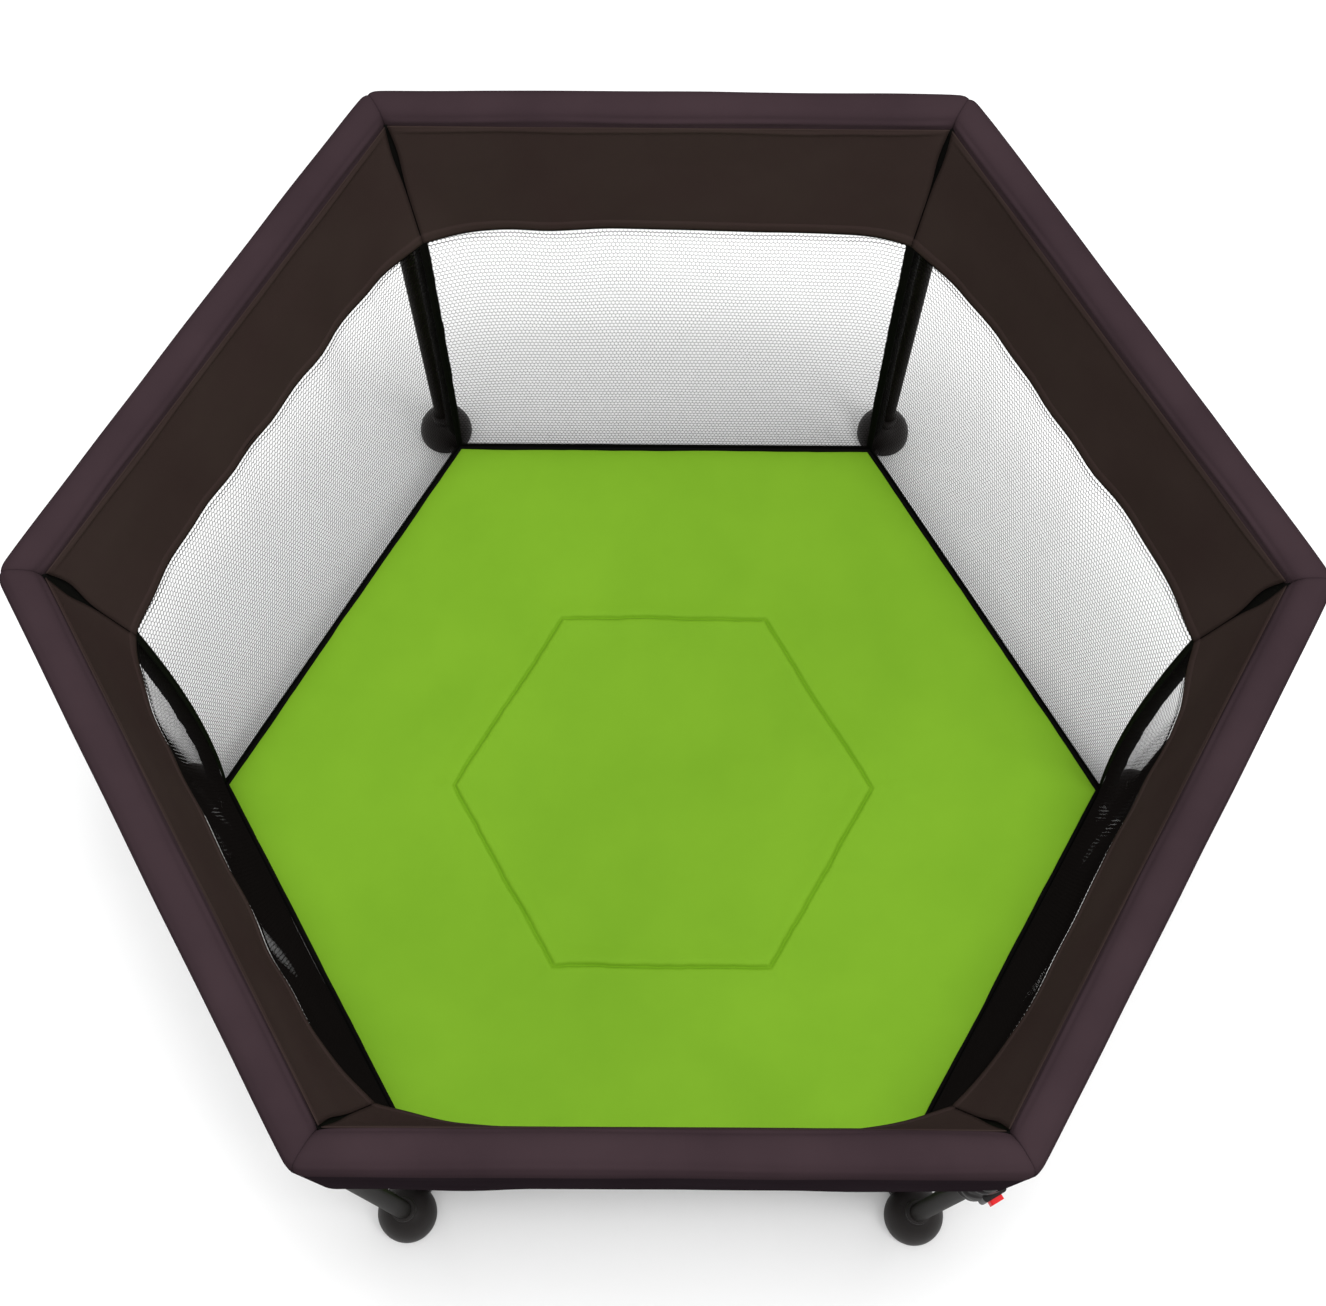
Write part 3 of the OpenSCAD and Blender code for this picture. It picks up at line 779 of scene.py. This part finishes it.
def make_mat():
    """The mat's cover: rings of points out from the middle, over the top, round the edge and under."""
    per_side = 60
    radii = spread_near(MIDDLE_R, 6 * MM, MAT_R - 10 * MM, 1 * MM, 56)
    radii += [MAT_R - d for d in (8 * MM, 6 * MM, 4.5 * MM, 3 * MM)]
    points, faces, uvs = [Vector((0, 0, MAT_TOP + mat_surface_height(0, 0, 0)))], [], [(0, 0)]

    def ring(radius, z=None):
        start = len(points)
        for i in SIDES:
            for k in range(per_side):
                p = corner_direction(i).lerp(corner_direction(i + 1), k / per_side) * radius
                p *= 1 + seam_wander(p.x, p.y) * bell(radius - MIDDLE_R, 30 * MM) / MIDDLE_R
                height = MAT_TOP + mat_surface_height(p.x, p.y, radius * COS) if z is None else z
                points.append(Vector((p.x, p.y, height)))
                uvs.append((p.x, p.y))
        return start

    count = per_side * CORNERS
    starts = [ring(r) for r in radii]
    edge_z = MAT_TOP - 3 * MM
    starts.append(ring(MAT_R - 1 * MM, edge_z))
    starts.append(ring(MAT_R - 0.3 * MM, (MAT_TOP + MAT_BASE) / 2))
    starts.append(ring(MAT_R - 1 * MM, MAT_BASE + 2 * MM))
    starts.append(ring(MAT_R - 4 * MM, MAT_BASE + 0.3 * MM))
    for k in range(count):
        faces.append((0, starts[0] + k, starts[0] + (k + 1) % count))
    for a, b in zip(starts, starts[1:]):
        faces += [(a + k, b + k, b + (k + 1) % count, a + (k + 1) % count) for k in range(count)]
    faces.append(tuple(range(starts[-1] + count - 1, starts[-1] - 1, -1)))
    marks = [0] * count
    # faces on the seam groove take the darker cloth, painted shade
    for a, b in zip(radii, radii[1:]):
        marks += [1 if abs((a + b) / 2 - MIDDLE_R) < SEAM_SHADE_W else 0] * count
    marks += [0] * (len(faces) - len(marks))
    mat = make_piece("mat", points, faces, [mat_cloth, mat_seam_shade], uvs, marks=marks)
    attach(mat, "mat")
    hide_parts("mat_cover")


def make_mat_binding():
    """Dark piping sewn round the mat's top edge."""
    around, per_side = 10, 40
    points, uvs = [], []
    for i in SIDES:
        for k in range(per_side):
            p = corner_direction(i).lerp(corner_direction(i + 1), k / per_side)
            out = p.normalized()
            thick = PIPING_R + ripple(30 * MM, 0.4 * MM, p.x, p.y, 4)
            centre = p * (MAT_R - 3.2 * MM) + Vector((0, 0, MAT_TOP - 2.6 * MM))
            for m in range(around):
                angle = 2 * math.pi * m / around
                rise = Vector((0, 0, thick * math.sin(angle)))
                points.append(centre + out * thick * math.cos(angle) + rise)
                uvs.append(((i + k / per_side) * MAT_R, m * 2 * MM))
    total = per_side * CORNERS
    faces = grid_faces(total, around, wrap=True)
    last = (total - 1) * around
    faces += [(last + m, last + (m + 1) % around, (m + 1) % around, m) for m in range(around)]
    piping = make_piece("mat_binding", points, faces, binding_cloth, uvs)
    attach(piping, "mat")


make_mat()
make_mat_binding()


# --- floor sheet and strap ---


def make_gore(i):
    """One sixth of the floor sheet: it rides on strut i."""
    across, rows = linspace(-1, 1, 25), linspace(0.02, 1, 26)
    out = corner_direction(i)
    middle = (sheet_low.z + sheet_high.z) / 2

    def place(s, share):
        """A point on the sheet; s runs from -1 to 1, half way to the corner before and after."""
        point = out.lerp(corner_direction(i + (1 if s > 0 else -1)), abs(s) / 2) * (share * MAT_R)
        point.z = middle + ripple(60 * MM, 0.3 * MM, point.x, point.y, s * TAN * COS * COS)
        return point

    gore = surface(f"floor_gore_{i}", across, rows, place, floor_cloth, 0.6 * MM,
                   uv=lambda s, share: (s * share * MAT_R / 2, share * MAT_R))
    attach(gore, f"strut_{i}")
    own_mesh(gore)
    return gore


gores = [make_gore(i) for i in SIDES]
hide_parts("floor_sheet")       # the six gores take its place


def make_strap():
    """Webbing loop on the hub's cap, with rounded ends and a dip along its middle."""
    low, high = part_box("pull_strap")
    half_l, half_w = (high.x - low.x) / 2, (high.y - low.y) / 2

    def place(s, v):
        x = s * half_l
        room = half_w * math.sqrt(max(0, 1 - max(0, (abs(x) - half_l + half_w) / half_w) ** 2))
        edge = 0.25 * MM * bell(abs(v) - 0.8, 0.2)
        return Vector((x, v * room, mix(low.z, high.z, 0.5) + edge + 0.2 * MM * math.cos(3 * s)))

    across = [math.sin(math.pi / 2 * x) for x in linspace(-1, 1, 41)]
    strap = surface("pull_strap_web", across, linspace(-1, 1, 13), place, webbing, 0.9 * MM,
                    uv=lambda s, v: (s * half_l, v * half_w))
    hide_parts("pull_strap")
    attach(strap, "hub")


make_strap()


# --- rubber boot round the latch ---

LATCH_LEG = 6                      # the leg with the release button
BOOT_BELOW, BOOT_ABOVE = 20 * MM, 72 * MM    # how far past the housing it reaches
BOOT_END_R, BOOT_R = 14 * MM, 23 * MM        # at its lower end, and above it


def make_boot():
    """Soft rubber boot round the leg at the latch, with a few level folds and a rounded lower end."""
    around, steps = 48, 70
    out = corner_direction(LATCH_LEG)
    across = Vector((-out.y, out.x, 0))
    low, high = latch_low.z - BOOT_BELOW, latch_high.z + BOOT_ABOVE
    points, uvs = [], []
    for step in range(steps):
        share = step / (steps - 1)
        z = mix(low, high, share)
        leg_r = mix(FOOT_R, RAIL_R, z / RAIL_Z)
        closing = min(1, share / 0.16)
        radius = mix(BOOT_END_R, BOOT_R, math.sqrt(1 - (1 - closing) ** 2)) * (1 - 0.2 * share)
        folds = 1.2 * MM * math.sin(share * 24 + 1.2 * math.sin(share * 9)) * min(1, share * 4)
        for k in range(around):
            angle = 2 * math.pi * k / around
            c, s = math.cos(angle), math.sin(angle)
            crease = ripple(16 * MM, 1.6 * MM, 18 * MM * c, 18 * MM * s, z * 1.4)
            reach = radius + folds * (0.6 + 0.4 * math.sin(angle * 2 + share * 7)) + crease
            sideways = across * (reach * s * 1.06)
            points.append(out * (leg_r + reach * c * 0.88) + sideways + Vector((0, 0, z)))
            uvs.append((radius * angle, z))
    boot = make_piece("latch_boot", points, tube_faces(steps, around), boot_rubber, uvs)
    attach(boot, f"leg_{LATCH_LEG}")


make_boot()


# --- floor, light and camera ---

def make_stage():
    """A plain pale floor."""
    half = 8
    material, _, _ = new_material("stage_floor", (0.88, 0.88, 0.88, 1), 0.9, Specular_IOR_Level=0.0)
    corners = [(-half, -half, 0), (half, -half, 0), (half, half, 0), (-half, half, 0)]
    make_piece("stage_floor", corners, [(0, 1, 2, 3)], material)


def make_light(name, place, size, power, aim=(0, 0, 0.3)):
    """A round soft light, aimed at the middle of the object."""
    lamp = bpy.data.lights.new(name, "AREA")
    lamp.shape = "DISK"
    lamp.size = size
    lamp.energy = power
    holder = bpy.data.objects.new(name, lamp)
    holder.location = place
    holder.rotation_euler = (Vector(aim) - Vector(place)).to_track_quat("-Z", "Y").to_euler()
    bpy.context.scene.collection.objects.link(holder)


make_stage()
make_light("key", (0.1, -0.2, 6.0), size=2.3, power=282)
make_light("fill", (3.0, -1.8, 4.2), size=1.8, power=44)
world = bpy.data.worlds.new("studio")
world.use_nodes = True
world.node_tree.nodes["Background"].inputs["Color"].default_value = (1, 1, 1, 1)
world.node_tree.nodes["Background"].inputs["Strength"].default_value = 0.61
bpy.context.scene.world = world
bpy.context.scene.view_settings.view_transform = "Standard"

CAMERA_AT = (-0.0024, -0.753, 2.494)         # before the small turn about the centre
YAW, PITCH, ROLL = math.radians(0.52), math.radians(69.07), math.radians(0.85)
camera = bpy.data.objects.new("camera", bpy.data.cameras.new("camera"))
camera.data.sensor_width = 36
camera.data.lens = 53.2
camera.matrix_world = (Matrix.Rotation(-YAW, 4, "Z") @ Matrix.Translation(CAMERA_AT)
                       @ Matrix.Rotation(math.pi / 2 - PITCH, 4, "X") @ Matrix.Rotation(ROLL, 4, "Z"))
bpy.context.scene.collection.objects.link(camera)
bpy.context.scene.camera = camera
